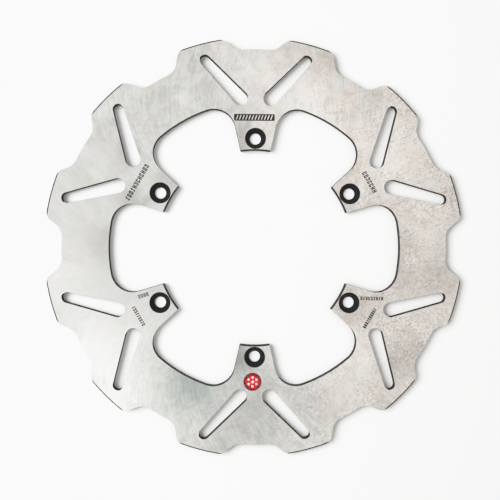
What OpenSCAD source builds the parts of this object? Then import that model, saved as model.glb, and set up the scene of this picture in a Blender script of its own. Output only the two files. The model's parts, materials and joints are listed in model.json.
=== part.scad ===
// One-piece (fixed) wave brake disc for a motorcycle front wheel.
// Origin: centre of the bolt circle on the hub face. +Z: the countersunk outer face. +X: a window axis.
// Units: millimetres.

/* [Disc] */
// Diameter over the wave crests
disc_d = 240; // [236:1:246]
// Thickness of a new disc
thickness = 4.75; // [4.5:0.25:6]
// Width of the 45 degree chamfer turned on the crests
crest_chamfer = 0.5; // [0.2:0.1:0.8]
// Width of the 45 degree chamfer turned on the tab tips
tip_chamfer = 0.35; // [0.2:0.05:0.6]

/* [Wave edge] */
// Depth of the valley outside each mounting tab
tab_valley_depth = 7; // [5:0.5:9]
// Depth of the valley outside each window
window_valley_depth = 10.2; // [8.2:0.5:11.2]
// Angle of the tab-side flank, from the tab axis, where it is 4 mm below the crests
tab_flank_angle = 7.1; // [6.6:0.1:8]
// Angle of the window-side flank, from the tab axis, where it is 4 mm below the crests
window_flank_angle = 22.7; // [22:0.1:23.2]
// Slope of the tab-side flank against the radius
tab_flank_slope = 44; // [36:1:48]
// Slope of the window-side flank against the radius
window_flank_slope = 32; // [26:1:40]
// Radius rounding the crest corners beside a tab valley
tab_crest_r = 6; // [4:0.5:7]
// Radius rounding the crest corners beside a window valley
window_crest_r = 5.5; // [4:0.5:7]
// Radius blending a flank into its valley floor
valley_r = 8; // [6:0.5:9]

/* [Windows and tabs] */
// Diameter of the circle the tab tips are turned to, round the hub
hub_d = 111.5; // [110:0.5:112]
// Diameter of the circle the six windows reach
window_d = 165.8; // [162:0.2:168]
// Radius of the window corners
window_corner_r = 12.4; // [10:0.2:14]
// Half width of a tab at the bolt circle
tab_half_w = 10.1; // [9.6:0.1:11]
// Angle each tab side opens outwards
tab_flare = 13; // [11:0.5:15]

/* [Slots] */
// Radius from the disc centre to the slot's outer end centre
slot_outer_pos = 110.3; // [108:0.1:111.5]
// Angle of the outer end centre from the tab axis
slot_outer_angle = 15.2; // [14.6:0.1:15.8]
// Radius of the slot's outer end
slot_outer_r = 2.85; // [2:0.05:3.2]
// Radius from the disc centre to the slot's inner end centre
slot_inner_pos = 85.5; // [84:0.1:90]
// Angle of the inner end centre from the tab axis
slot_inner_angle = 5.7; // [5:0.1:6.4]
// Radius of the slot's inner end
slot_inner_r = 4.05; // [3:0.05:4.5]

/* [Bolt holes] */
// Diameter of the bolt circle
bolt_pcd = 125; // [124.5:0.5:127]
// Diameter of the clearance hole for an M6 countersunk screw
bolt_d = 6.4; // [6.2:0.1:7]
// Diameter of the countersink at the outer face
sink_d = 12; // [11:0.1:12.2]
// Depth of the straight part above the 90 degree cone
sink_mouth = 1; // [0.5:0.1:1.2]

/* [Badge] */
// Diameter of the round domed badge
badge_d = 10.3; // [8:0.1:10.5]
// Radius from the disc centre to the badge centre
badge_pos = 76.6; // [76:0.1:78]
// Direction of the badge centre from the disc centre
badge_angle = 269.1; // [268:0.1:272]
// Thickness of the white adhesive foil
foil_t = 0.15; // [0.1:0.05:0.3]
// Thickness of the printed red layer
print_t = 0.1; // [0.05:0.05:0.2]
// Height of the clear dome over its straight rim
dome_h = 0.9; // [0.5:0.1:1.5]

/* [Hidden] */
sectors = 6;                     // tabs, windows and bolt holes
sector_angle = 360 / sectors;
tab_axis = sector_angle / 2;     // first tab axis, from +X
disc_r = disc_d / 2;
hub_r = hub_d / 2;
window_r = window_d / 2;
tab_floor_r = disc_r - tab_valley_depth;
window_floor_r = disc_r - window_valley_depth;
flank_r = disc_r - 4;            // radius at which the flank angles are given
overrun = 2;                     // how far cutting shapes pass the solid
core_depth = 3;                  // how far the crests reach inside their valley floors
lap = 0.002;                     // how far a blending circle laps over the lines it meets, to join cleanly
lap_angle = 1;                   // how far a tab valley floor runs on under its crests
bolt_r = bolt_d / 2;
sink_r = sink_d / 2;
sink_floor_z = thickness - sink_mouth;
sink_cone_z = sink_floor_z - (sink_r - bolt_r);
badge_r = badge_d / 2;
print_r = badge_r - 0.1;
rim_h = 0.3;                     // straight rim of the dome
dome_r = (badge_r * badge_r + dome_h * dome_h) / (2 * dome_h);
cap_facets = 360;                // a shallow cap needs a finer circle than the rest
rosette_hub_r = 0.9;             // six-petal rosette left white in the print
petal_r = 0.72;
petal_pos = 2.5;
foil_z = thickness;
print_z = foil_z + foil_t;
dome_z = print_z + print_t;

$fa = 3;
$fs = 0.4;

function polar(r, a) = [r * cos(a), r * sin(a)];
function turned(p, a) = [p.x * cos(a) - p.y * sin(a), p.x * sin(a) + p.y * cos(a)];
function bearing(p) = atan2(p.y, p.x);

// The point at distance r from the disc centre on the line through p along the unit vector d.
function on_line(p, d, r) = p + d * (sqrt(pow(p * d, 2) - p * p + r * r) - p * d);

// Centre of a circle tangent to a sloped line through p, offset to its left, with its centre r from the origin.
function tangent_centre(p, slope, offset, r) =
    on_line(p + offset * polar(1, slope + 90), polar(1, slope), r);

// One flank of a crest, drawn about +X with the metal on its left:
// [fillet centre, its tangent point, corner tangent point, corner centre].
function flank(floor_r, slope, corner_r) =
    let (
        p = [flank_r, 0],
        left = polar(1, slope + 90),
        fillet = tangent_centre(p, slope, -valley_r, floor_r + valley_r),
        corner = tangent_centre(p, slope, corner_r, disc_r - corner_r)
    )
    [fillet, fillet + valley_r * left, corner - corner_r * left, corner];

function mirrored(points) = [for (p = points) [p.x, -p.y]];
function all_turned(points, a) = [for (p = points) turned(p, a)];

// Both flanks of the crest next to the tab axis, in the frame whose +X is the tab axis.
tab_flank = all_turned(flank(tab_floor_r, tab_flank_slope, tab_crest_r), tab_flank_angle);
window_flank = all_turned(
    mirrored(flank(window_floor_r, window_flank_slope, window_crest_r)), window_flank_angle);

// A crest between its two flanks; it reaches past the crest circle, which trims it.
module crest_blank() {
    polygon([
        polar(window_floor_r - core_depth, bearing(tab_flank[0])),
        tab_flank[0],
        tab_flank[1],
        tab_flank[2],
        tab_flank[3],
        polar(disc_r + overrun, bearing(tab_flank[3])),
        polar(disc_r + overrun, bearing(window_flank[3])),
        window_flank[3],
        window_flank[2],
        window_flank[1],
        window_flank[0],
        polar(window_floor_r - core_depth, bearing(window_flank[0]))
    ]);
}

module crest() {
    difference() {
        intersection() {
            union() {
                crest_blank();
                translate(tab_flank[3]) circle(r = tab_crest_r + lap);
                translate(window_flank[3]) circle(r = window_crest_r + lap);
            }
            circle(r = disc_r);
        }
        translate(tab_flank[0]) circle(r = valley_r + lap);
        translate(window_flank[0]) circle(r = valley_r + lap);
    }
}

// The shallow valley floor outside a tab. Its ends run on under the crests.
module tab_floor() {
    half = bearing(tab_flank[0]) + lap_angle;
    reach = tab_floor_r + overrun;
    intersection() {
        circle(r = tab_floor_r);
        polygon([[0, 0], polar(reach, -half), polar(reach, half)]);
    }
}

module wave_outline() {
    circle(r = window_floor_r);
    for (i = [0 : sectors - 1]) {
        rotate(tab_axis + i * sector_angle) {
            tab_floor();
            crest();
            mirror([0, 1]) crest();
        }
    }
}

// A window, in the frame whose +X is its axis. Its sides are the sides of the two tabs beside it.
module window() {
    side_slope = tab_axis + tab_flare - sector_angle;
    side = turned([bolt_pcd / 2, tab_half_w], -tab_axis);
    corner = tangent_centre(side, side_slope, window_corner_r, window_r - window_corner_r);
    foot = corner - window_corner_r * polar(1, side_slope + 90);
    start = on_line(side, polar(1, side_slope), hub_r - overrun);
    intersection() {
        union() {
            polygon([
                [0, 0],
                start,
                foot,
                corner,
                polar(window_r + overrun, bearing(corner)),
                polar(window_r + overrun, -bearing(corner)),
                [corner.x, -corner.y],
                [foot.x, -foot.y],
                [start.x, -start.y]
            ]);
            translate(corner) circle(r = window_corner_r + lap);
            translate([corner.x, -corner.y]) circle(r = window_corner_r + lap);
        }
        circle(r = window_r);
    }
}

// A tapered slot: two round ends joined by the lines tangent to both.
module slot() {
    outer = polar(slot_outer_pos, slot_outer_angle);
    inner = polar(slot_inner_pos, slot_inner_angle);
    span = norm(outer - inner);
    lean = asin((slot_inner_r - slot_outer_r) / span);
    left = polar(1, bearing(outer - inner) + 90 - lean);
    right = polar(1, bearing(outer - inner) - 90 + lean);
    translate(outer) circle(r = slot_outer_r + lap);
    translate(inner) circle(r = slot_inner_r + lap);
    polygon([
        inner + slot_inner_r * left,
        inner + slot_inner_r * right,
        outer + slot_outer_r * right,
        outer + slot_outer_r * left
    ]);
}

module disc_outline() {
    difference() {
        wave_outline();
        circle(r = hub_r);
        for (i = [0 : sectors - 1]) {
            rotate(i * sector_angle) window();
            rotate(tab_axis + i * sector_angle) {
                slot();
                mirror([0, 1]) slot();
            }
        }
    }
}

// Ring that cuts a chamfer of the given width off an edge of radius r at height 0.
// Side 1 is an outer edge, -1 an inner one.
module chamfer_ring(r, width, side) {
    rotate_extrude()
        polygon([
            [r - side * (width + overrun), overrun],
            [r + side * overrun, overrun],
            [r + side * overrun, -width - overrun]
        ]);
}

module turned_chamfers() {
    chamfer_ring(disc_r, crest_chamfer, 1);
    chamfer_ring(hub_r, tip_chamfer, -1);
}

module bolt_hole() {
    translate([0, 0, -overrun]) cylinder(r = bolt_r, h = thickness);
    translate([0, 0, sink_cone_z]) cylinder(r1 = bolt_r, r2 = sink_r, h = sink_r - bolt_r);
    translate([0, 0, sink_floor_z]) cylinder(r = sink_r, h = sink_mouth + overrun);
}

module rotor() {
    color([0.74, 0.74, 0.72])
        difference() {
            linear_extrude(height = thickness) disc_outline();
            translate([0, 0, thickness]) turned_chamfers();
            mirror([0, 0, 1]) turned_chamfers();
            for (i = [0 : sectors - 1])
                rotate(tab_axis + i * sector_angle)
                    translate([bolt_pcd / 2, 0, 0]) bolt_hole();
        }
}

module at_badge(z) {
    rotate(badge_angle) translate([badge_pos, 0, z]) children();
}

module badge_foil() {
    color([0.93, 0.92, 0.9])
        at_badge(foil_z) cylinder(r = badge_r, h = foil_t);
}

// The red print, open over the rosette so that the white foil shows.
module badge_print() {
    color([0.72, 0.03, 0.05])
        at_badge(print_z) linear_extrude(height = print_t)
            difference() {
                circle(r = print_r);
                circle(r = rosette_hub_r);
                for (i = [0 : sectors - 1])
                    rotate(i * sector_angle) translate([petal_pos, 0]) circle(r = petal_r);
            }
}

module badge_dome() {
    color([0.95, 0.95, 0.95, 0.35])
        at_badge(dome_z) rotate_extrude()
            intersection() {
                translate([0, rim_h + dome_h - dome_r]) circle(r = dome_r, $fn = cap_facets);
                square([badge_r, rim_h + dome_h]);
            }
}

rotor();
badge_foil();
badge_print();
badge_dome();
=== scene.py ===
"""Looks of the wave brake disc: ground steel, dark cut walls, etched marks, a domed badge, studio and camera.

Everything is in metres in the row frame: the disc lies on z = 0, its axis is +Z and the badge tab points
along -Y. Lengths written as x * MM are millimetres.
"""

import json
import math
import random

import bpy
from mathutils import Matrix, Vector


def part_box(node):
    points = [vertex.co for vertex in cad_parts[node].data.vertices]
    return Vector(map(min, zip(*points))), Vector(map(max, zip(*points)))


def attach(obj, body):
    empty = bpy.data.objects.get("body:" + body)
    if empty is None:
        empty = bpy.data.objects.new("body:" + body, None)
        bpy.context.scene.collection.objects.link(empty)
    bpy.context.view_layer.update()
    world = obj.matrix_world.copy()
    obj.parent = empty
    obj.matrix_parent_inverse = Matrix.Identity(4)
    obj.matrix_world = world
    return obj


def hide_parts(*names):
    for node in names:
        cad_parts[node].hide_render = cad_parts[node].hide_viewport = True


MM = 0.001

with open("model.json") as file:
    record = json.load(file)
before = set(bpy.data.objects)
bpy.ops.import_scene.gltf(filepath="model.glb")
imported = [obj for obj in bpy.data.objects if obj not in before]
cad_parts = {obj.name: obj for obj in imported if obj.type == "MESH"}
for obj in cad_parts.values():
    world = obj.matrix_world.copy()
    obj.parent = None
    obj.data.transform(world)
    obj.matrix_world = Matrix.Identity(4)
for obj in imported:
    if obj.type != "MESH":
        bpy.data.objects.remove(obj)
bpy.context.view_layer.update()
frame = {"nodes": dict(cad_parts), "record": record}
nodes = frame["nodes"]

# --- facts about the disc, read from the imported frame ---
FACE_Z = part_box("rotor")[1].z  # the ground outer face
BOLTS = next(m["dims"] for m in frame["record"]["mounts"] if m["name"] == "hub_bolts")
BOLT_ANGLES = [math.radians((k + 0.5) * 360 / BOLTS["count"]) for k in range(BOLTS["count"])]
HOLES = [Vector((math.cos(a), math.sin(a), 0)) * (BOLTS["pcd_mm"] * MM / 2) for a in BOLT_ANGLES]
SINK_R = 6 * MM  # radius of a countersink's mouth
WAVE_FROM = 105 * MM  # outlines and chamfers farther out than this belong to the wave
TIPS_TO = 57 * MM  # chamfers nearer than this belong to the tab tips
BADGE_LOW, BADGE_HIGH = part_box("badge_dome")
BADGE_X, BADGE_Y = (BADGE_LOW.x + BADGE_HIGH.x) / 2, (BADGE_LOW.y + BADGE_HIGH.y) / 2

EYE = Vector((-17.94, 12.63, 518.16)) * MM  # where the camera stands

# A face counts as flat if its normal is nearly upright, and as a wall if it is nearly level
FLAT_NORMAL, WALL_NORMAL = 0.99, 0.2
LEVEL_NORMAL = 0.999995  # flat, with no slope at all


# --- node helpers ---
class Graph:
    """The node tree of a material, the world or a modifier, with short calls for the nodes used here."""

    def __init__(self, tree):
        self.tree = tree
        tree.nodes.clear()

    def add(self, kind, **settings):
        node = self.tree.nodes.new(kind)
        for key, value in settings.items():
            setattr(node, key, value)
        return node

    def put(self, socket, value):
        if isinstance(value, bpy.types.NodeSocket):
            self.tree.links.new(value, socket)
        elif value is not None:
            socket.default_value = value

    def math(self, operation, a, b=None, c=None):
        node = self.add("ShaderNodeMath", operation=operation)
        for socket, value in zip(node.inputs, (a, b, c)):
            self.put(socket, value)
        return node.outputs[0]

    def vector(self, operation, a, b=None, scale=None):
        node = self.add("ShaderNodeVectorMath", operation=operation)
        self.put(node.inputs[0], a)
        if b is not None:
            self.put(node.inputs[1], b)
        if scale is not None:
            self.put(node.inputs["Scale"], scale)
        scalar = operation in ("LENGTH", "DISTANCE", "DOT_PRODUCT")
        return node.outputs["Value" if scalar else "Vector"]

    def xyz(self, vector):
        node = self.add("ShaderNodeSeparateXYZ")
        self.put(node.inputs[0], vector)
        return node.outputs

    def combine(self, x, y, z):
        node = self.add("ShaderNodeCombineXYZ")
        for socket, value in zip(node.inputs, (x, y, z)):
            self.put(socket, value)
        return node.outputs[0]

    def noise(self, vector, scale, detail=2.0, roughness=0.5, distortion=0.0):
        node = self.add("ShaderNodeTexNoise")
        self.put(node.inputs["Vector"], vector)
        node.inputs["Scale"].default_value = scale
        node.inputs["Detail"].default_value = detail
        node.inputs["Roughness"].default_value = roughness
        node.inputs["Distortion"].default_value = distortion
        return node.outputs[0]

    def ramp(self, value, low, high, to_low=0.0, to_high=1.0, smooth=True):
        """value between low and high, taken to to_low..to_high and held outside."""
        node = self.add("ShaderNodeMapRange", clamp=True)
        node.interpolation_type = "SMOOTHSTEP" if smooth else "LINEAR"
        for name, v in (
            ("Value", value),
            ("From Min", low),
            ("From Max", high),
            ("To Min", to_low),
            ("To Max", to_high),
        ):
            self.put(node.inputs[name], v)
        return node.outputs[0]

    def mix(self, factor, a, b, blend="MIX"):
        node = self.add("ShaderNodeMix", data_type="RGBA", blend_type=blend)
        self.put(node.inputs["Factor"], factor)
        self.put(node.inputs["A"], (*a, 1) if isinstance(a, tuple) else a)
        self.put(node.inputs["B"], (*b, 1) if isinstance(b, tuple) else b)
        return node.outputs["Result"]

    def float_mix(self, factor, a, b):
        node = self.add("ShaderNodeMix", data_type="FLOAT")
        for socket, value in zip(node.inputs[:1] + node.inputs[2:4], (factor, a, b)):
            self.put(socket, value)
        return node.outputs[0]

    def bump(self, height, strength, distance):
        node = self.add("ShaderNodeBump")
        node.inputs["Strength"].default_value = strength
        node.inputs["Distance"].default_value = distance
        self.put(node.inputs["Height"], height)
        return node.outputs[0]


def grey(g, value):
    """A grey colour from a number socket."""
    return g.combine(value, value, value)


def new_material(name):
    mat = bpy.data.materials.new(name)
    mat.use_nodes = True
    return mat, Graph(mat.node_tree)


def principled(g, **inputs):
    """The one surface shader of a material, with its inputs set by name."""
    shader = g.add("ShaderNodeBsdfPrincipled")
    for name, value in inputs.items():
        socket = shader.inputs[name.replace("_", " ")]
        g.put(socket, (*value, 1) if name == "Base_Color" and isinstance(value, tuple) else value)
    out = g.add("ShaderNodeOutputMaterial")
    g.put(out.inputs["Surface"], shader.outputs[0])


def position_mm(g):
    coords = g.add("ShaderNodeTexCoord")
    return g.vector("SCALE", coords.outputs["Object"], scale=1 / MM)


# --- ground steel ---
RING_R = 90.0  # middle of the ground ring, mm


def grinding(g, flat, radius, wander, lean, pitch, length, seed):
    """Grooves that cross the ring like spokes, wander a little and lean, in radians a millimetre of radius.

    The point is turned back by the lean at its radius, so one groove keeps one angle; then noise is read on a
    circle. Pitch and length are those of a groove, in millimetres.
    """
    turn = g.add("ShaderNodeVectorRotate", rotation_type="Z_AXIS")
    g.put(turn.inputs["Vector"], flat)
    g.put(turn.inputs["Angle"], g.math("MULTIPLY_ADD", g.math("SUBTRACT", radius, RING_R), lean, wander))
    unit = g.xyz(g.vector("NORMALIZE", turn.outputs[0]))
    around = RING_R / pitch
    where = g.combine(
        g.math("MULTIPLY", unit[0], around),
        g.math("MULTIPLY", unit[1], around),
        g.math("ADD", g.math("MULTIPLY", radius, 1 / length), seed),
    )
    return g.noise(where, 1.0, detail=3.0, roughness=0.6)


def toward(g, unit, angle, low, high):
    """1 on the side of the ring that lies at this angle, 0 on the other sides."""
    t = math.radians(angle)
    return g.ramp(g.vector("DOT_PRODUCT", unit, (math.cos(t), math.sin(t), 0.0)), low, high)


def moved(g, flat, x=0.0, y=0.0, z=0.0):
    """The point moved, so that a second noise doesn't repeat the first."""
    return g.vector("ADD", flat, (x, y, z))


def swing(g, value, depth, onto):
    """onto, plus the value's distance from its middle times the depth."""
    return g.math("MULTIPLY_ADD", g.math("SUBTRACT", value, 0.5), depth, onto)


# Places where the ground face is brighter or duller, partly its own uneven tone and partly painted sheen and
# shade where the light's reflection in the scratches would brighten or dull it: angle, radius (mm), reach
# (mm), change
SHEEN_AND_TONE_PLACES = (
    (70, 84, 40, 0.34),
    (68, 114, 24, -0.14),
    (36, 97, 34, 0.22),
    (92, 103, 24, 0.20),
    (110, 92, 18, -0.10),
    (132, 113, 18, 0.10),
    (222, 118, 46, 0.30),
    (205, 106, 34, 0.20),
    (226, 122, 38, 0.22),
    (215, 80, 20, 0.12),
    (28, 76, 18, 0.14),
    (188, 110, 28, 0.16),
    (245, 84, 28, -0.34),
    (270, 92, 42, -0.24),
    (262, 118, 24, -0.12),
    (292, 100, 20, -0.08),
    (352, 110, 20, -0.18),
    (348, 88, 20, -0.12),
    (178, 84, 20, -0.16),
    (322, 108, 22, -0.14),
    (318, 88, 22, 0.10),
    (308, 88, 24, 0.12),
    (158, 76, 16, -0.24),
    (144, 90, 14, -0.14),
    (262, 63, 16, -0.42),
    (98, 64, 16, -0.22),
    (142, 62, 14, -0.20),
    (329, 66, 18, -0.16),
    (10, 100, 22, 0.06),
    (0, 86, 12, -0.14),
    (141, 92, 12, -0.12),
    (320, 100, 12, -0.12),
    (340, 88, 13, 0.12),
    (280, 88, 12, 0.12),
    (112, 94, 14, 0.16),
    (216, 108, 30, 0.18),
    (50, 88, 12, 0.10),
    (326, 108, 22, -0.08),
    (120, 100, 12, -0.10),
    (160, 100, 10, -0.12),
    (150, 80, 10, 0.10),
    (310, 118, 12, -0.10),
    (12, 118, 14, -0.12),
)


class SteelPatterns:
    """The patterns that the ground face's tone, brightness and roughness share, at a point in millimetres."""

    def __init__(self, g):
        self.x, self.y = g.xyz(position_mm(g))[:2]
        self.flat = flat = g.combine(self.x, self.y, 0.0)
        self.radius = g.vector("LENGTH", flat)
        self.unit = g.vector("NORMALIZE", flat)
        self.cloud = g.noise(flat, 0.045, detail=4.0, roughness=0.6, distortion=0.8)
        self.mottle = g.noise(moved(g, flat, x=300.0), 0.16, detail=3.0, roughness=0.6, distortion=1.2)
        self.patch = g.noise(moved(g, flat, y=300.0), 0.07, detail=2.0)
        self.rough_side = toward(g, self.unit, 355, -0.2, 1.0)
        self.smooth_side = toward(g, self.unit, 180, 0.6, 0.95)
        self.fine, self.streaks, self.bands = self.scratches(g)

    def scratches(self, g):
        """Fine, middle and wide scratches.

        They lean one way round 72 and 235 degrees, the other way round 135, and elsewhere run straight. In
        patches another pass shows through.
        """
        wander = g.math("MULTIPLY_ADD", g.noise(self.flat, 0.018, detail=1.0), 0.16, -0.08)
        up_share = g.math(
            "MAXIMUM", toward(g, self.unit, 235, 0.35, 0.9), toward(g, self.unit, 72, 0.6, 0.95)
        )
        up_share = g.math("ADD", up_share, g.ramp(self.patch, 0.50, 0.64, 0.0, 0.8))
        down_share = g.math(
            "ADD", toward(g, self.unit, 135, 0.35, 0.9), g.ramp(self.patch, 0.36, 0.48, 0.8, 0.0)
        )

        def passes(pitch, length, seed):
            straight, up, down = (
                grinding(g, self.flat, self.radius, wander, lean, pitch, length, seed + step)
                for lean, step in ((0.0008, 0.0), (-0.0066, 11.0), (0.0058, 23.0))
            )
            return g.float_mix(down_share, g.float_mix(up_share, straight, up), down)

        return passes(0.55, 9.0, 3.0), passes(1.5, 12.0, 41.0), passes(5.0, 30.0, 87.0)


def steel_tone(g, p, shifted):
    """The face's tint: greenish grey, browner towards +X, with stains and, on the rough side, dark flecks."""
    warm = g.vector("DOT_PRODUCT", p.unit, (math.cos(math.radians(15)), math.sin(math.radians(15)), 0.0))
    warm = g.ramp(g.math("MULTIPLY_ADD", p.cloud, 0.8, warm), 0.1, 1.15)
    tone = g.mix(warm, (0.668, 0.673, 0.648), (0.720, 0.672, 0.622))
    tone = g.mix(g.ramp(p.mottle, 0.40, 0.60, 0.0, 0.7), tone, (0.705, 0.668, 0.652))
    tone = g.mix(g.ramp(p.patch, 0.50, 0.66, 0.0, 0.6), tone, (0.655, 0.672, 0.640))
    flecks = g.ramp(g.noise(p.flat, 0.62, detail=3.0, roughness=0.65), 0.54, 0.70)
    fleck_share = g.math("MULTIPLY", flecks, g.math("MULTIPLY_ADD", p.rough_side, 0.55, 0.06))
    tone = g.mix(fleck_share, tone, (0.44, 0.39, 0.35))
    cool = g.vector("DISTANCE", shifted, (-36.0, -78.0, 0.0))
    return g.mix(g.ramp(cool, 0.0, 30.0, 1.0, 0.0), tone, (0.62, 0.675, 0.645))


def steel_ripple(g, p):
    """Brightness of scratches, clouds and grain, round 1."""
    slanted = g.vector("ADD", p.flat, g.combine(g.math("MULTIPLY", p.y, -0.7), 0.0, 0.0))
    slanted = g.vector("MULTIPLY", slanted, (1.0, 0.45, 1.0))
    grain = g.noise(slanted, 1.25, detail=2.0, roughness=0.6)
    scatter = g.noise(moved(g, p.flat, z=40.0), 0.09, detail=2.0)
    spots = g.math("MULTIPLY_ADD", p.rough_side, 1.0, 0.16)
    spots = g.math("MULTIPLY", spots, g.ramp(scatter, 0.40, 0.62, 0.35, 1.5))
    worked = g.math("MULTIPLY_ADD", p.smooth_side, -0.75, 1.0)
    ripple = swing(g, p.fine, g.math("MULTIPLY", worked, 0.34), 1.0)
    ripple = swing(g, p.streaks, g.math("MULTIPLY_ADD", worked, 0.26, 0.08), ripple)
    ripple = swing(g, p.bands, 0.14, ripple)
    ripple = swing(g, p.cloud, 0.55, ripple)
    ripple = swing(g, p.mottle, g.math("MULTIPLY_ADD", worked, 0.45, 0.05), ripple)
    return swing(g, grain, g.math("MULTIPLY", worked, spots), ripple)


def ground_steel():
    """Bright steel, ground: crossing scratches, cloudy tone, a warmer, speckled side towards +X, and brighter
    and duller places that are partly painted sheen and shade.
    """
    mat, g = new_material("ground_steel_face")
    p = SteelPatterns(g)

    # the tone places, partly painted sheen and shade, with edges pushed about by the wide scratches and the
    # clouds
    shifted = p.flat
    for pattern, push in ((p.bands, 7.0), (p.cloud, 10.0)):
        aside = g.math("MULTIPLY_ADD", pattern, 2 * push, -push)
        shifted = g.vector("ADD", shifted, g.combine(aside, 0.0, 0.0))
    level = 1.0
    for angle, out, reach, change in SHEEN_AND_TONE_PLACES:
        t = math.radians(angle)
        gap = g.vector("DISTANCE", shifted, (out * math.cos(t), out * math.sin(t), 0.0))
        level = g.math("ADD", level, g.ramp(gap, 0.0, reach, change, 0.0))
    level = g.math("MULTIPLY", level, steel_ripple(g, p))

    rough = g.ramp(p.fine, 0.25, 0.75, 0.40, 0.28, smooth=False)
    relief = g.math("ADD", p.fine, g.math("MULTIPLY", p.streaks, 0.6))
    principled(
        g,
        Base_Color=g.mix(1.0, steel_tone(g, p, shifted), grey(g, level), blend="MULTIPLY"),
        Metallic=1.0,
        Roughness=g.math("ADD", rough, g.ramp(p.cloud, 0.3, 0.7, -0.02, 0.03)),
        Anisotropic=0.5,
        Tangent=g.vector("NORMALIZE", g.combine(g.math("MULTIPLY", p.y, -1.0), p.x, 0.0)),
        Normal=g.bump(relief, 0.35, 0.01 * MM),
    )
    return mat


def dark_metal(name, colour, worn, roughness, along_axis, metallic=0.75, gloss=0.25):
    """A cut, turned or sunk surface: dark scale with marks of the tool, paler where it has worn.

    The marks change along_axis times as fast along the disc's axis as across it: under 1 they stand upright
    in a cut wall, over 1 they run round a bore.
    """
    mat, g = new_material(name)
    at = position_mm(g)
    stretched = g.vector("MULTIPLY", at, (1.0, 1.0, along_axis))
    marks = g.noise(stretched, 1.4, detail=3.0, roughness=0.6)
    grain = g.noise(at, 5.0, detail=3.0, roughness=0.6)
    tone = g.mix(g.ramp(marks, 0.35, 0.75), colour, worn)
    tone = g.mix(g.math("MULTIPLY", g.ramp(grain, 0.6, 0.8), 0.4), tone, worn)
    principled(
        g,
        Base_Color=tone,
        Metallic=metallic,
        Specular_IOR_Level=gloss,
        Roughness=g.ramp(marks, 0.3, 0.7, roughness + 0.08, roughness - 0.08),
        Normal=g.bump(g.math("ADD", marks, grain), 0.3, 0.02 * MM),
    )
    return mat


def etched():
    """Nearly black, matt and a little mottled."""
    mat, g = new_material("etched_mark")
    grain = g.noise(position_mm(g), 6.0, detail=2.0)
    principled(
        g,
        Base_Color=g.mix(g.ramp(grain, 0.35, 0.7), (0.010, 0.009, 0.008), (0.035, 0.031, 0.029)),
        Specular_IOR_Level=0.2,
        Roughness=g.ramp(grain, 0.3, 0.7, 0.6, 0.8),
        Normal=g.bump(grain, 0.2, 0.01 * MM),
    )
    return mat


def badge_foil():
    """White vinyl."""
    mat, g = new_material("badge_white_foil")
    grain = g.noise(position_mm(g), 2.5, detail=3.0)
    principled(
        g,
        Base_Color=g.mix(grain, (0.80, 0.79, 0.78), (0.88, 0.87, 0.86)),
        Roughness=g.ramp(grain, 0.3, 0.7, 0.3, 0.42),
    )
    return mat


def badge_print():
    """Red ink, darker towards the badge's rim."""
    mat, g = new_material("badge_red_print")
    at = position_mm(g)
    grain = g.noise(at, 3.0, detail=3.0)
    x, y = g.xyz(at)[:2]
    out = g.vector("DISTANCE", g.combine(x, y, 0.0), (BADGE_X / MM, BADGE_Y / MM, 0.0))
    red = g.mix(grain, (0.52, 0.002, 0.006), (0.66, 0.005, 0.010))
    principled(
        g,
        Base_Color=g.mix(g.ramp(out, 3.0, 4.7), red, (0.17, 0.001, 0.004)),
        Roughness=g.ramp(grain, 0.3, 0.7, 0.35, 0.5),
        Specular_IOR_Level=0.05,
    )
    return mat


def badge_resin():
    """Clear resin with a faint swirl."""
    mat, g = new_material("badge_clear_resin")
    swirl = g.noise(position_mm(g), 0.4, detail=2.0)
    principled(
        g,
        Base_Color=(1.0, 0.99, 0.98),
        Roughness=0.03,
        IOR=1.3,
        Transmission_Weight=1.0,
        Normal=g.bump(swirl, 0.05, 0.05 * MM),
    )
    return mat


STEEL = ground_steel()
CUT = dark_metal(
    "cut_wall", (0.016, 0.015, 0.014), (0.055, 0.052, 0.050), 0.65, 0.15, metallic=0.05, gloss=0.1
)
SINK = dark_metal("countersink", (0.030, 0.031, 0.032), (0.075, 0.077, 0.078), 0.5, 3.0)
ETCH = etched()


# --- carried-over CAD nodes ---
def shade_by_angle(limit):
    """A modifier's node group: smooth faces, but level faces flat and edges sharper than the limit sharp."""
    tree = bpy.data.node_groups.new("shade_by_angle", "GeometryNodeTree")
    for way in ("INPUT", "OUTPUT"):
        tree.interface.new_socket("Geometry", in_out=way, socket_type="NodeSocketGeometry")
    g = Graph(tree)

    def more(value, least):
        node = g.add("FunctionNodeCompare", operation="GREATER_THAN")
        g.put(node.inputs[0], value)
        g.put(node.inputs[1], least)
        return node.outputs[0]

    def shade(geometry, smooth, chosen=None, domain="FACE"):
        node = g.add("GeometryNodeSetShadeSmooth", domain=domain)
        g.put(node.inputs["Geometry"], geometry)
        g.put(node.inputs["Selection"], chosen)
        g.put(node.inputs["Shade Smooth"], smooth)
        return node.outputs[0]

    rise = g.math("ABSOLUTE", g.xyz(g.add("GeometryNodeInputNormal").outputs["Normal"])[2])
    angle = g.add("GeometryNodeInputMeshEdgeAngle").outputs["Unsigned Angle"]
    geometry = shade(g.add("NodeGroupInput").outputs[0], True)
    geometry = shade(geometry, False, more(rise, LEVEL_NORMAL))
    geometry = shade(geometry, False, more(angle, limit), "EDGE")
    g.put(g.add("NodeGroupOutput").inputs[0], geometry)
    return tree


SHADING = shade_by_angle(math.radians(20))
KEY_STEP = 0.001 * MM  # how finely corner_key tells corners apart


def corner_key(mesh, edge):
    """An edge's two ends, rounded so that the same edge of two split faces gives the same key."""
    ends = [tuple(round(c / KEY_STEP) for c in mesh.vertices[v].co) for v in edge.vertices]
    return tuple(sorted(ends))


# How far in front of a wall the point under the camera lies, for no wide break and for a full one; the wide
# dark break is partly painted shade
FACING_FROM, FACING_FULL = 8 * MM, 50 * MM

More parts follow.
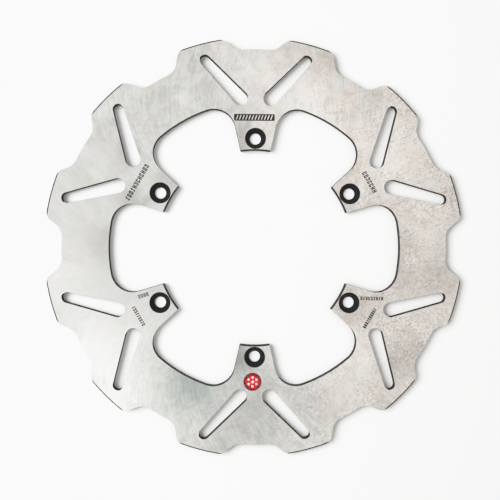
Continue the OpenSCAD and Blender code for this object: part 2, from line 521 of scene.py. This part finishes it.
# The rotor's materials, by slot, and the breaks of its edges, in the order they are cut:
# name, the edges it works on, width, slot, segments
GROUND, WALL, SEAT = range(3)
BREAKS = (
    ("break_tip", "tip_edge", 0.32 * MM, WALL, 1),
    ("break_crest", "crest_edge", 0.22 * MM, WALL, 1),
    # on walls that face the camera the dark break is partly the edge's scale and partly painted shade,
    # widened to darken the band where the wall's foot lies in shadow
    ("break_inner_scale_and_shade", "inner_edge", 0.40 * MM, WALL, 2),
    ("break_far", "far_edge", 0.12 * MM, GROUND, 2),
    ("break_outer", "outer_edge", 0.08 * MM, GROUND, 2),
)


def in_seat(point):
    """Whether a point on the disc belongs to a bolt hole or its countersink."""
    flat = Vector((point.x, point.y, 0))
    slack = 0.05 * MM
    return min((flat - hole).length for hole in HOLES) < SINK_R + slack


def outlines_of(edges):
    """The closed outlines that these edges form, each as a set of corners."""
    near = {}
    for a, b in edges:
        near.setdefault(a, []).append(b)
        near.setdefault(b, []).append(a)
    outlines, seen = [], set()
    for first in near:
        if first in seen:
            continue
        outline, todo = {first}, [first]
        while todo:
            for v in near[todo.pop()]:
                if v not in outline:
                    outline.add(v)
                    todo.append(v)
        seen |= outline
        outlines.append(outline)
    return outlines


def edge_kinds(mesh):
    """The kind of each edge of the flat faces, and its share of that kind's break.

    The wave's outline, walls that face the point under the camera, other walls, the chamfers of the crests
    and those of the tab tips are told apart, and the countersinks' mouths are left sharp. The break of a
    facing wall grows with how far in front of it that point lies; its dark band is partly the edge's scale
    and partly painted shade for the shadow at the wall's foot.
    """
    under_eye = Vector((EYE.x, EYE.y, 0))
    used = {}
    for face in mesh.polygons:
        if abs(face.normal.z) > FLAT_NORMAL:
            for key in face.edge_keys:
                used[key] = used.get(key, 0) + 1
    rim = [key for key, count in used.items() if count == 1]
    wave = set()
    for outline in outlines_of(rim):
        if min(mesh.vertices[v].co.xy.length for v in outline) > WAVE_FROM:
            wave |= outline
    kinds = {}
    by_key = {tuple(sorted(e.vertices)): e for e in mesh.edges}
    for a, b in rim:
        kind = "outer_edge" if a in wave else "far_edge"
        kinds[corner_key(mesh, by_key[tuple(sorted((a, b)))])] = kind, 1.0
    for face in mesh.polygons:
        rise = abs(face.normal.z)
        if rise >= FLAT_NORMAL:
            continue
        wall = rise < WALL_NORMAL
        from_axis = face.center.xy.length
        ahead = -face.normal.dot(face.center - under_eye)
        share = min((ahead - FACING_FROM) / (FACING_FULL - FACING_FROM), 1.0)
        for key in face.edge_keys:
            key = corner_key(mesh, by_key[tuple(sorted(key))])
            if key not in kinds:
                continue
            if in_seat(face.center):
                kinds[key] = "seat_edge", 1.0
            elif not wall and from_axis > WAVE_FROM:
                kinds[key] = "crest_edge", 1.0
            elif not wall and from_axis < TIPS_TO:
                kinds[key] = "tip_edge", 1.0
            # a wall facing the camera gets a wider dark break: partly painted shade for the shadow at its
            # foot
            elif wall and kinds[key][0] == "far_edge" and share > 0:
                kinds[key] = "inner_edge", share
    return kinds


def mark_edges(mesh):
    """Bevel weights, as one edge attribute for each kind of edge that gets a break."""
    kinds = edge_kinds(mesh)
    for _, name, *_ in BREAKS:
        weights = mesh.attributes.new(name, "FLOAT", "EDGE")
        for edge in mesh.edges:
            kind, share = kinds.get(corner_key(mesh, edge), (None, 0.0))
            weights.data[edge.index].value = share if kind == name else 0.0


def bevel(obj, name, weights, width, material, segments):
    """Breaks the edges that carry these weights, and gives the new faces the material in that slot."""
    edge = obj.modifiers.new(name, "BEVEL")
    edge.width = width
    edge.segments = segments
    edge.limit_method = "WEIGHT"
    edge.edge_weight = weights
    edge.material = material
    edge.use_clamp_overlap = False
    edge.miter_outer = "MITER_SHARP"


def finish_cad(obj, materials, breaks=()):
    """Joins a CAD node's split corners, merges flat facets, breaks edges and gives it its materials."""
    mesh = obj.data
    mesh.materials.clear()
    for mat in materials:
        mesh.materials.append(mat)
    if "custom_normal" in mesh.attributes:
        mesh.attributes.remove(mesh.attributes["custom_normal"])
    weld = obj.modifiers.new("join_corners", "WELD")
    weld.merge_threshold = 0.0005 * MM
    flat = obj.modifiers.new("merge_flats", "DECIMATE")
    flat.decimate_type = "DISSOLVE"
    flat.angle_limit = math.radians(0.2)
    flat.delimit = {"MATERIAL"}
    for settings in breaks:
        bevel(obj, *settings)
    shade = obj.modifiers.new("shade_by_angle", "NODES")
    shade.node_group = SHADING


def rotor_slots(obj):
    """Gives each face of the rotor its material slot."""
    for face in obj.data.polygons:
        if abs(face.normal.z) > FLAT_NORMAL:
            face.material_index = GROUND
        else:
            face.material_index = SEAT if in_seat(face.center) else WALL


mark_edges(nodes["rotor"].data)
finish_cad(nodes["rotor"], [STEEL, CUT, SINK], BREAKS)
rotor_slots(nodes["rotor"])
finish_cad(nodes["badge_foil"], [badge_foil()])
finish_cad(nodes["badge_print"], [badge_print()])


# --- pieces built here ---
def new_piece(name, verts, faces, mat):
    """A mesh object in the scene, with one material."""
    mesh = bpy.data.meshes.new(name)
    mesh.from_pydata(verts, [], faces)
    mesh.materials.append(mat)
    obj = bpy.data.objects.new(name, mesh)
    bpy.context.scene.collection.objects.link(obj)
    return obj


def resin_dome():
    """The badge's clear dome, just over the print: a short upright rim, a rounded shoulder, a crowned top."""
    radius = (BADGE_HIGH.x - BADGE_LOW.x) / 2
    gap, rim, squareness = 0.008 * MM, 0.3 * MM, 0.8
    rim_z = BADGE_LOW.z + rim
    rings, around = 16, 96
    verts, faces = [], []

    def ring(reach, height):
        for n in range(around):
            t = 2 * math.pi * n / around
            verts.append((BADGE_X + reach * math.cos(t), BADGE_Y + reach * math.sin(t), height))

    for k in range(rings):
        a = math.radians(90 * k / rings)
        ring(radius * math.cos(a) ** squareness, rim_z + (BADGE_HIGH.z - rim_z) * math.sin(a))
    top = len(verts)
    verts.append((BADGE_X, BADGE_Y, BADGE_HIGH.z))
    base = len(verts)
    ring(radius, BADGE_LOW.z + gap)
    last = (rings - 1) * around
    pairs = [(n, (n + 1) % around) for n in range(around)]
    for low, high in [(base, 0)] + [(k, k + around) for k in range(0, last, around)]:
        faces += [(low + n, low + m, high + m, high + n) for n, m in pairs]
    faces += [(last + n, last + m, top) for n, m in pairs]
    faces.append([base + n for n in reversed(range(around))])
    obj = new_piece("resin_dome", verts, faces, badge_resin())
    shade = obj.modifiers.new("shade_by_angle", "NODES")
    shade.node_group = SHADING
    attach(obj, "root")
    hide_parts("badge_dome")


resin_dome()


# --- etched marks, all of them plain strokes ---
MARK_T = 0.012 * MM  # thickness of a mark
CELL = 0.68  # width of the room for one figure, as a share of the row's height
FIGURE_WIDTH = 0.72  # as a share of that room

# Plain figures for the marks: strokes from u0, v0 to u1, v1 in a cell one wide and one high
FIGURES = (
    ((0, 0, 0, 1), (1, 0, 1, 1), (0.4, 0.5, 0.6, 0.5)),
    ((0, 0, 0, 1), (1, 0, 1, 0.3), (1, 0.75, 1, 1), (0.4, 0, 0.6, 0), (0.4, 1, 0.6, 1)),
    ((0, 0, 0, 1), (1, 0, 1, 1), (0.4, 1, 0.6, 1), (0.4, 0, 0.6, 0)),
    ((0, 0, 0, 0.35), (0, 0.75, 0, 1), (1, 0, 1, 1), (0.4, 0.9, 0.6, 0.9)),
    ((0.5, 0, 0.5, 1), (0, 0, 0, 0.1), (1, 0.9, 1, 1)),
)

# Rows of figures: name, tab (degrees), start and end of the foot line (u, v), height, stroke width, seed
ROWS = (
    ("wide", 150, (-12.75, 75.2), (10.5, 75.2), 2.9, 0.56, 5),
    ("code", 30, (-6.75, 74.2), (7.0, 74.2), 2.9, 0.54, 8),
    ("left", 210, (-6.75, 75.75), (6.0, 75.75), 2.1, 0.46, 11),
    ("left_short", 210, (8.7, 65.5), (10.0, 71.75), 2.1, 0.46, 13),
    ("right", 330, (-4.75, 76.3), (8.5, 76.3), 2.0, 0.46, 17),
    ("right_long", 330, (-12.75, 77.75), (-6.25, 66.0), 2.1, 0.46, 19),
)


def tab_point(tab, u, v):
    """A point on the face: v mm out along the tab, u mm to its right as the tab stands upright."""
    t, u, v = math.radians(tab), u * MM, v * MM
    return Vector((v * math.cos(t) + u * math.sin(t), v * math.sin(t) - u * math.cos(t), 0))


def capsule(start, end, width, corners=5):
    """Outline of a stroke with round ends."""
    along = (end - start).normalized()
    side = Vector((-along.y, along.x, 0))
    points = []
    for centre, first in ((end, -90), (start, 90)):
        for k in range(corners):
            a = math.radians(first + 180 * k / (corners - 1))
            points.append(centre + (along * math.cos(a) + side * math.sin(a)) * width / 2)
    return points


def mark(name, outlines, mat, layer=0):
    """Closed flat plates, one for each outline, as one piece that rides with the disc.

    Layer 0 lies on the disc's face, layer 1 on a mark of layer 0.
    """
    low, high = FACE_Z + layer * MARK_T, FACE_Z + (layer + 1) * MARK_T
    verts, faces = [], []
    for points in outlines:
        n, base = len(points), len(verts)
        verts += [(p.x, p.y, z) for z in (low, high) for p in points]
        faces.append([base + n + k for k in range(n)])
        faces.append([base + k for k in reversed(range(n))])
        for k in range(n):
            m = (k + 1) % n
            faces.append([base + k, base + m, base + n + m, base + n + k])
    obj = new_piece(name, verts, faces, mat)
    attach(obj, "root")


def stroke_row(tab, first, last, height, stroke, seed):
    """Outlines of a row of plain figures, like a stamped code."""
    rng = random.Random(seed)
    start, end = tab_point(tab, *first), tab_point(tab, *last)
    height, stroke = height * MM, stroke * MM
    along = (end - start).normalized()
    up = Vector((-along.y, along.x, 0))
    count = round((end - start).length / (CELL * height))
    pitch = (end - start).length / count
    wide, tall = pitch * FIGURE_WIDTH - stroke, height - stroke
    outlines = []
    for k in range(count):
        foot = start + along * (k * pitch + stroke / 2) + up * stroke / 2
        for u0, v0, u1, v1 in rng.choice(FIGURES):
            a, b = (foot + along * wide * u + up * tall * v for u, v in ((u0, v0), (u1, v1)))
            outlines.append(capsule(a, b, stroke))
    return outlines


def rounded_box(tab, u0, u1, v0, v1, r, steps=5):
    """Outline of a plate with rounded corners, in a tab's own frame (mm)."""
    right, left, top, foot = u1 - r, u0 + r, v1 - r, v0 + r
    points = []
    for u, v, first in ((right, top, 0), (left, top, 90), (left, foot, 180), (right, foot, 270)):
        for k in range(steps + 1):
            a = math.radians(first + 90 * k / steps)
            points.append(tab_point(tab, u + r * math.cos(a), v + r * math.sin(a)))
    return points


def hatch(tab, u0, u1, v0, v1, count, lean, stroke):
    """Outlines of evenly spaced leaning strokes, in a tab's own frame (mm)."""
    outlines = []
    for k in range(count):
        u = u0 + (u1 - u0) * k / (count - 1)
        outlines.append(capsule(tab_point(tab, u, v0), tab_point(tab, u + lean, v1), stroke * MM))
    return outlines


for row_name, *row in ROWS:
    mark("etched_row_" + row_name, stroke_row(*row), ETCH)
mark("etched_plate", [rounded_box(90, -12.25, 10.9, 72.5, 76.3, r=0.5)], ETCH)
strokes = hatch(90, -10.9, 8.7, 73.3, 75.5, count=12, lean=0.8, stroke=0.62)
mark("etched_plate_hatch", strokes, STEEL, layer=1)


# --- floor, light and camera ---
def floor():
    """White paper, just under the disc."""
    half, z = 12.0, -0.5 * MM
    mat, g = new_material("paper_floor")
    principled(g, Base_Color=(0.90, 0.905, 0.90), Roughness=0.9, Specular_IOR_Level=0.0)
    corners = [(-half, -half, z), (half, -half, z), (half, half, z), (-half, half, z)]
    new_piece("floor", corners, [(0, 1, 2, 3)], mat)


def studio():
    """A pale room, brightest overhead, with a still brighter patch a little to the left."""
    world = bpy.data.worlds.new("studio")
    bpy.context.scene.world = world
    world.use_nodes = True
    g = Graph(world.node_tree)
    way = g.vector("NORMALIZE", g.add("ShaderNodeTexCoord").outputs["Generated"])
    x, _, z = g.xyz(way)
    level = g.ramp(z, 0.30, 0.97, 0.10, 1.04)
    patch = g.vector("DOT_PRODUCT", way, tuple(Vector((-0.29, -0.18, 0.94)).normalized()))
    level = g.math("ADD", level, g.ramp(patch, 0.970, 0.994, 0.0, 0.66))

    # pale walls low down, seen by the camera and in the steel, that don't lift the shadows on the floor
    walls = g.ramp(z, 0.42, 0.16, 0.0, 0.66)
    shaded = g.add("ShaderNodeLightPath").outputs["Is Diffuse Ray"]
    level = g.math("MAXIMUM", level, g.math("MULTIPLY", walls, g.math("SUBTRACT", 1.0, shaded)))

    tint = g.mix(g.ramp(x, -0.3, 0.3), (1.0, 1.0, 0.99), (1.0, 0.99, 0.97))
    colour = g.mix(1.0, tint, grey(g, level), blend="MULTIPLY")
    back = g.add("ShaderNodeBackground")
    g.put(back.inputs["Color"], colour)
    g.put(back.inputs["Strength"], 1.0)
    out = g.add("ShaderNodeOutputWorld")
    g.put(out.inputs["Surface"], back.outputs[0])


def softbox(name, place, size, power, colour):
    """A round light that faces the disc's middle and isn't mirrored in the steel."""
    data = bpy.data.lights.new(name, "AREA")
    data.shape = "DISK"
    data.size = size
    data.energy = power
    data.color = colour
    obj = bpy.data.objects.new(name, data)
    obj.location = place
    obj.rotation_mode = "QUATERNION"
    obj.rotation_quaternion = (-Vector(place)).to_track_quat("-Z", "Y")
    obj.visible_glossy = False
    bpy.context.scene.collection.objects.link(obj)


def camera():
    """Looks from the eye at the disc's middle, with the roll and the shift of the photograph."""
    roll = math.radians(-0.2314)
    forward = (-EYE).normalized()
    right = forward.cross(Vector((math.sin(roll), math.cos(roll), 0))).normalized()
    up = right.cross(forward)
    data = bpy.data.cameras.new("camera")
    data.sensor_width = 36
    data.lens = 64.8
    data.shift_x, data.shift_y = -0.00955, -0.00417
    data.clip_start, data.clip_end = 0.01, 20
    obj = bpy.data.objects.new("camera", data)
    obj.matrix_world = Matrix(
        (
            (right.x, up.x, -forward.x, EYE.x),
            (right.y, up.y, -forward.y, EYE.y),
            (right.z, up.z, -forward.z, EYE.z),
            (0, 0, 0, 1),
        )
    )
    bpy.context.scene.collection.objects.link(obj)
    bpy.context.scene.camera = obj


FILM_WHITE = 1.3  # the paper's open brightness
FILM_CURVE = ((0.70, 0.70), (0.85, 0.80), (1.0, 0.87), (1.15, 0.93))  # brightness and its tone
FILM_TOP = 0.958  # the tone of anything as bright as the paper or brighter


def film():
    """Shows tones as they are, and holds the paper's brightest tone a little under white."""
    view = bpy.context.scene.view_settings
    view.view_transform = "Standard"
    view.look = "None"
    view.use_curve_mapping = True
    curves = view.curve_mapping
    curves.extend = "HORIZONTAL"
    curves.white_level = (FILM_WHITE,) * 3
    master = curves.curves[3]
    for point, place in zip(master.points, ((0.0, 0.0), (1.0, FILM_TOP))):
        point.location = place
    for seen, shown in FILM_CURVE:
        master.points.new(seen / FILM_WHITE, shown)
    straight_to = 0.6
    for point in master.points:
        point.handle_type = "VECTOR" if point.location.x < straight_to else "AUTO"
    curves.update()


floor()
studio()
softbox("key", place=(-0.69, 0.159, 0.91), size=0.78, power=14.8, colour=(1.0, 0.998, 0.992))
camera()
film()
